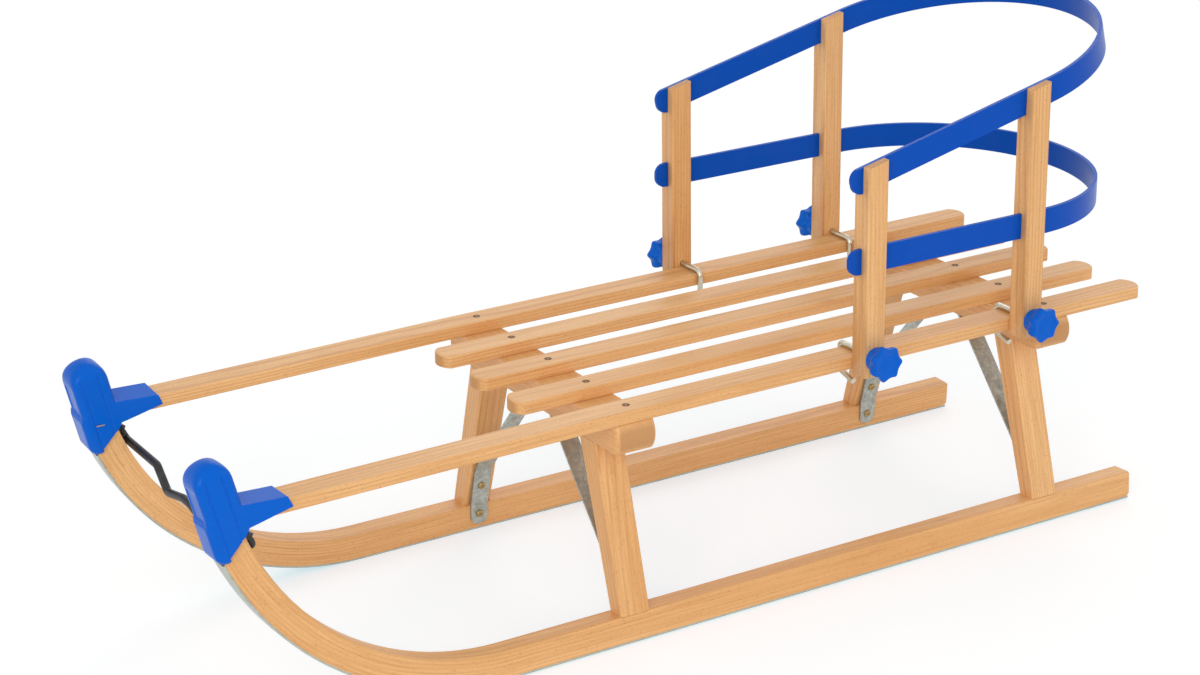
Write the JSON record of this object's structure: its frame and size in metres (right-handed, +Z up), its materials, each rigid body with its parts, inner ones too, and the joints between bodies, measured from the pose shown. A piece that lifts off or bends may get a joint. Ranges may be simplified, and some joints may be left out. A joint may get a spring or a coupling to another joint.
{
  "type": "davos sled",
  "caption": "Wooden davos sled with steam-bent runners on steel shoes, moulded horn caps, a tow bar and a backrest of bent hoops clamped to its rails.",
  "frame": {"origin": "on the ground, midway along the whole length and midway between the runners", "axes": "+X to the sled's left, +Y to the rear, +Z up; the horns point to -Y"},
  "size_m": [0.4134, 1.0908, 0.53],
  "materials": {
    "beech": "clear lacquered pale beech, satin",
    "shoe_steel": "plain drawn steel strip",
    "zinc_strap": "dull galvanised strap",
    "bright_zinc": "bright zinc-plated rod",
    "blue_moulding": "semi-gloss moulded blue plastic",
    "blue_strip": "semi-gloss blue coated strip",
    "black_steel": "black coated round bar"
  },
  "bodies": {
    "sled": {"runner_left": "beech", "runner_right": "beech", "rail_left": "beech", "rail_right": "beech", "slat_1": "beech", "slat_2": "beech", "slat_3": "beech", "beam_front": "beech", "beam_rear": "beech", "leg_front_left": "beech", "leg_front_right": "beech", "leg_rear_left": "beech", "leg_rear_right": "beech", "runner_shoe_left": "shoe_steel", "runner_shoe_right": "shoe_steel", "brace_front_left": "zinc_strap", "brace_front_right": "zinc_strap", "brace_rear_left": "zinc_strap", "brace_rear_right": "zinc_strap", "horn_cap_left": "blue_moulding", "horn_cap_right": "blue_moulding", "tow_bar": "black_steel"},
    "backrest": {"post_front_left": "beech", "post_front_right": "beech", "post_rear_left": "beech", "post_rear_right": "beech", "hoop_lower": "blue_strip", "hoop_upper": "blue_strip", "hook_bolt_front_left": "bright_zinc", "hook_bolt_front_right": "bright_zinc", "hook_bolt_rear_left": "bright_zinc", "hook_bolt_rear_right": "bright_zinc", "star_knob_front_left": "blue_moulding", "star_knob_front_right": "blue_moulding", "star_knob_rear_left": "blue_moulding", "star_knob_rear_right": "blue_moulding"}
  },
  "joints": [
    {"name": "backrest_slide", "type": "slide", "parent": "sled", "child": "backrest", "axis": [0, 1, 0], "range_m": [-0.225, 0.007]}
  ]
}
